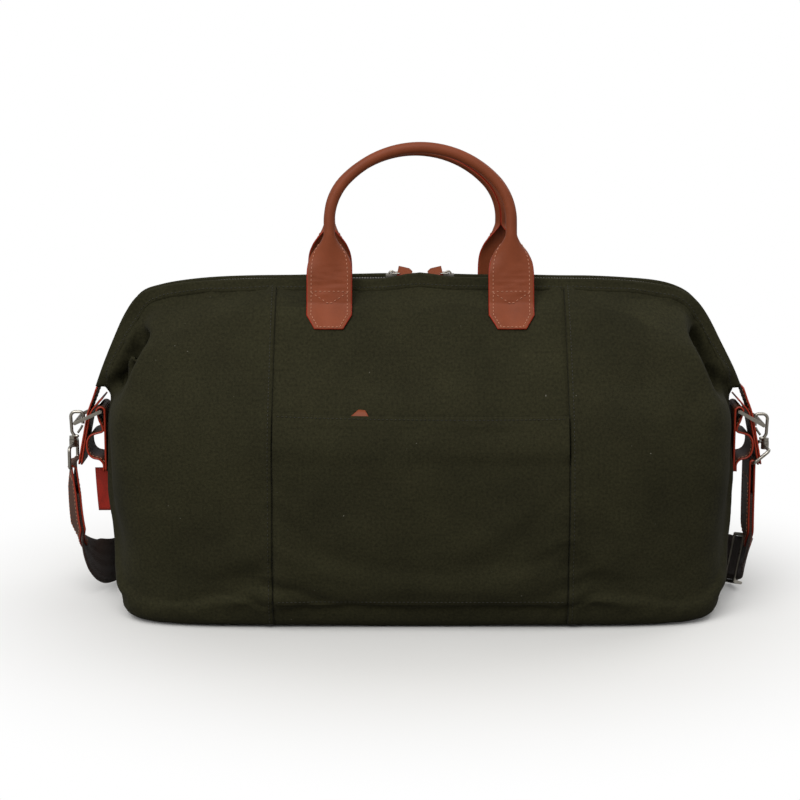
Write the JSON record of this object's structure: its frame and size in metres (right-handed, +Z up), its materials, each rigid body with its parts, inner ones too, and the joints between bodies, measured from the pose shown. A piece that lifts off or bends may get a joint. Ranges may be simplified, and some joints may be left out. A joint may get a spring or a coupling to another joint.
{
  "type": "weekender bag",
  "caption": "Soft canvas weekender bag with a gable top closed by a two-way zip, rolled leather handles, a front zip pocket and a clip-on shoulder strap.",
  "frame": {"origin": "centre of the footprint, on the ground", "axes": "+X along the bag's length to its right, +Y to its back, +Z up; the pocket faces -Y"},
  "size_m": [0.6077, 0.2656, 0.3919],
  "materials": {
    "canvas": "tightly woven dark olive canvas",
    "lining_cloth": "plain woven lining",
    "stiffener": "plain board",
    "zip_tape": "black woven zip tape",
    "satin_nickel": "satin nickel plate",
    "leather_tan": "smooth tan leather with red painted edges",
    "leather_dark": "brown leather with red painted edges",
    "core_cord": "cotton cord",
    "webbing": "dark brown herringbone webbing",
    "tag_cloth": "plain red woven tag"
  },
  "bodies": {
    "bag": {"front_centre_panel": "canvas", "back_centre_panel": "canvas", "left_front_panel": "canvas", "left_back_panel": "canvas", "right_front_panel": "canvas", "right_back_panel": "canvas", "base_panel": "canvas", "front_pocket_panel": "canvas", "lining": "lining_cloth", "base_board": "stiffener", "zip_tape_front": "zip_tape", "zip_tape_back": "zip_tape", "pocket_zip_tape": "zip_tape", "zip_teeth_front": "satin_nickel", "zip_teeth_back": "satin_nickel", "pocket_zip_teeth": "satin_nickel", "left_hook_body": "satin_nickel", "right_hook_body": "satin_nickel", "left_hook_swivel": "satin_nickel", "right_hook_swivel": "satin_nickel", "left_strap_loop": "satin_nickel", "right_strap_loop": "satin_nickel", "strap_slider": "satin_nickel", "front_handle_tabs": "leather_tan", "rear_handle_tabs": "leather_tan", "left_chape": "leather_dark", "right_chape": "leather_dark", "left_wing_strap": "leather_dark", "right_wing_strap": "leather_dark", "left_strap_leather": "leather_dark", "right_strap_leather": "leather_dark", "strap_webbing": "webbing", "label_tag": "tag_cloth"},
    "front_handle": {"front_handle": "leather_tan", "front_handle_core": "core_cord"},
    "rear_handle": {"rear_handle": "leather_tan", "rear_handle_core": "core_cord"},
    "zip_runner_left": {"zip_slider_left": "satin_nickel"},
    "zip_runner_right": {"zip_slider_right": "satin_nickel"},
    "zip_pull_left": {"zip_pull_link_left": "satin_nickel", "zip_pull_left": "leather_tan"},
    "zip_pull_right": {"zip_pull_link_right": "satin_nickel", "zip_pull_right": "leather_tan"},
    "pocket_runner": {"pocket_zip_slider": "satin_nickel", "pocket_zip_pull": "leather_tan"},
    "left_ring": {"left_ring": "satin_nickel"},
    "right_ring": {"right_ring": "satin_nickel"},
    "left_hook_gate": {"left_hook_gate": "satin_nickel"},
    "right_hook_gate": {"right_hook_gate": "satin_nickel"}
  },
  "joints": [
    {"name": "front_handle_swing", "type": "hinge", "parent": "bag", "child": "front_handle", "pos_m": [0, -0.032, 0.272], "axis": [1, 0, 0], "range_deg": [-3, 122]},
    {"name": "rear_handle_swing", "type": "hinge", "parent": "bag", "child": "rear_handle", "pos_m": [0, 0.032, 0.272], "axis": [-1, 0, 0], "range_deg": [-3, 122]},
    {"name": "zip_left_slide", "type": "slide", "parent": "bag", "child": "zip_runner_left", "axis": [-1, 0, 0], "range_m": [0, 0.145]},
    {"name": "zip_right_slide", "type": "slide", "parent": "bag", "child": "zip_runner_right", "axis": [1, 0, 0], "range_m": [0, 0.145]},
    {"name": "zip_left_pull_flip", "type": "hinge", "parent": "zip_runner_left", "child": "zip_pull_left", "pos_m": [-0.024, 0, 0.28145], "axis": [0, -1, 0], "range_deg": [0, 170]},
    {"name": "zip_right_pull_flip", "type": "hinge", "parent": "zip_runner_right", "child": "zip_pull_right", "pos_m": [0.024, 0, 0.28145], "axis": [0, 1, 0], "range_deg": [0, 170]},
    {"name": "pocket_zip_slide", "type": "slide", "parent": "bag", "child": "pocket_runner", "axis": [1, 0, 0], "range_m": [-0.048, 0.15]},
    {"name": "left_ring_tilt", "type": "hinge", "parent": "bag", "child": "left_ring", "pos_m": [-0.27252, 0, 0.165], "axis": [0, 1, 0], "range_deg": [0, 4]},
    {"name": "right_ring_tilt", "type": "hinge", "parent": "bag", "child": "right_ring", "pos_m": [0.27252, 0, 0.165], "axis": [0, -1, 0], "range_deg": [0, 4]},
    {"name": "left_hook_gate_press", "type": "hinge", "parent": "bag", "child": "left_hook_gate", "pos_m": [-0.29523, 0, 0.14261], "axis": [0, -1, 0], "range_deg": [0, 40], "stiffness_Nm_per_rad": 0.01, "springref_deg": -11.46},
    {"name": "right_hook_gate_press", "type": "hinge", "parent": "bag", "child": "right_hook_gate", "pos_m": [0.29422, 0, 0.14065], "axis": [0, 1, 0], "range_deg": [0, 40], "stiffness_Nm_per_rad": 0.01, "springref_deg": -11.46}
  ]
}
